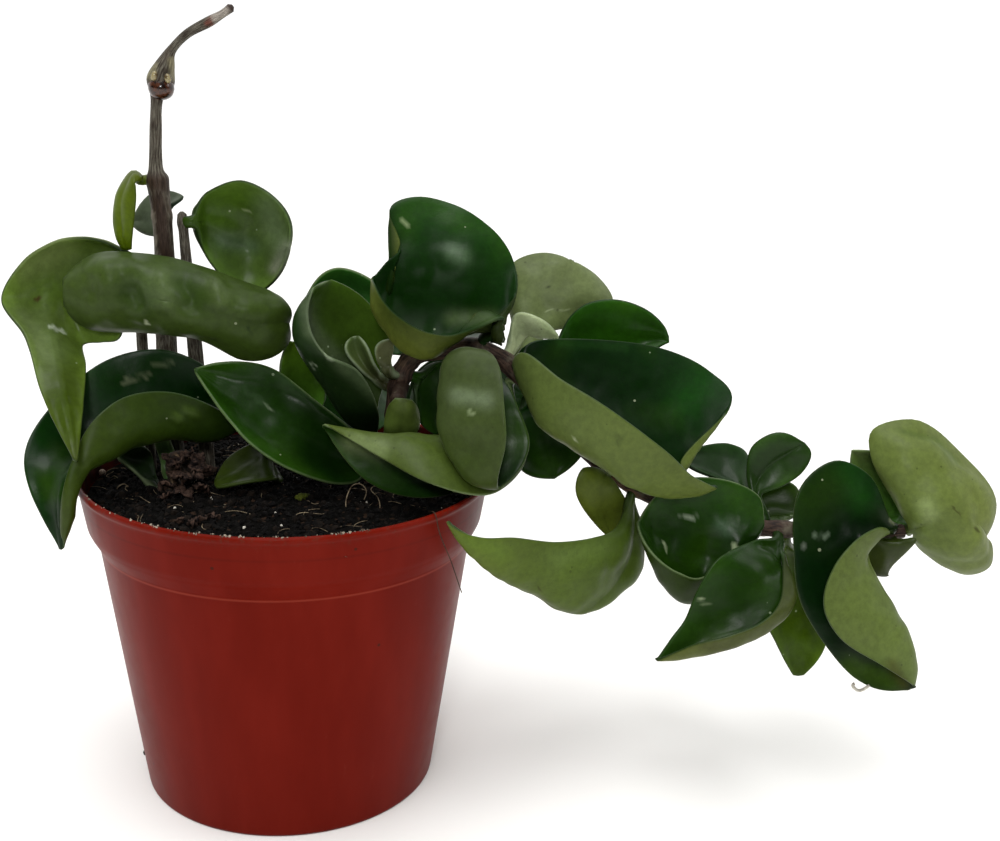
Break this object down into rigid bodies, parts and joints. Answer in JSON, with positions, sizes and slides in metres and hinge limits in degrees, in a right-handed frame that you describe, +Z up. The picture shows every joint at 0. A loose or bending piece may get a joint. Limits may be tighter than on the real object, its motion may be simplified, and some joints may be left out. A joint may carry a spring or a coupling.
{
  "type": "potted hindu rope plant",
  "caption": "Hindu rope plant in a plastic nursery pot: curled, folded waxy leaves crowded on an upright stem and on a ropy stem that trails out over the rim.",
  "frame": {"origin": "centre of the pot's flat base, on the surface that it stands on", "axes": "+Z up; +X towards the end of the trailing stem; -Y towards the front that the picture shows"},
  "size_m": [0.2555, 0.105, 0.1986],
  "materials": {
    "pot": "satin moulded polypropylene, dusty at the rim",
    "soil": "damp potting mix of bark, peat and white perlite crumbs",
    "stem_grey": "dull woody bark with fine grooves",
    "stem_red": "smooth reddish-brown bark, half hidden by leaves",
    "leaf_dark": "waxy leaf, very dark green, silver flecks, clear highlights",
    "leaf_green": "waxy leaf, mid green, soft highlights",
    "leaf_pale": "leaf seen from its pale grey-green underside, fine dimples",
    "leaf_olive": "dull olive leaf",
    "leaf_yellow": "ageing leaf, yellow green",
    "dried_leaf": "dry, brown, matt"
  },
  "bodies": {
    "root": {"pot": "pot", "soil": "soil", "stem_upright": "stem_grey", "stem_left": "stem_grey", "stem_right": "stem_grey", "stem_short": "stem_grey", "stem_rope": "stem_red", "leaf_pan": "leaf_green", "leaf_back_small": "leaf_olive", "leaf_yellow": "leaf_yellow", "leaf_pod": "leaf_pale", "leaf_left": "leaf_pale", "leaf_rim": "leaf_green", "leaf_soil_left": "leaf_green", "leaf_sprig": "leaf_pale", "leaf_soil_olive": "leaf_olive", "dried_leaf": "dried_leaf", "leaf_long": "leaf_dark", "leaf_gap": "leaf_green", "leaf_funnel": "leaf_dark", "leaf_behind_funnel": "leaf_pale", "leaf_inner_round": "leaf_olive", "leaf_wedge": "leaf_pale", "leaf_oval": "leaf_olive", "leaf_dark_inner": "leaf_dark", "leaf_lower": "leaf_dark", "leaf_convex": "leaf_dark", "leaf_dark_low": "leaf_dark", "leaf_crown": "leaf_dark", "leaf_light_back": "leaf_pale", "leaf_dark_right": "leaf_dark", "leaf_scrap": "leaf_pale", "leaf_taco": "leaf_dark", "leaf_scoop": "leaf_pale", "leaf_hanging": "leaf_olive", "leaf_beak": "leaf_green", "leaf_oval_top": "leaf_green", "leaf_glossy": "leaf_dark", "leaf_pointed": "leaf_dark", "leaf_drooping": "leaf_yellow", "leaf_olive_up": "leaf_olive", "leaf_big_right": "leaf_green", "leaf_green_gap": "leaf_green", "leaf_olive_low": "leaf_olive", "leaf_bulb": "leaf_pale", "leaf_rear_middle": "leaf_green", "leaf_rear_right": "leaf_green", "leaf_rear_left": "leaf_green", "leaf_rear_crown": "leaf_green", "leaf_rear_taco": "leaf_green", "leaf_rear_low": "leaf_green", "leaf_rear_end": "leaf_green"}
  },
  "joints": []
}
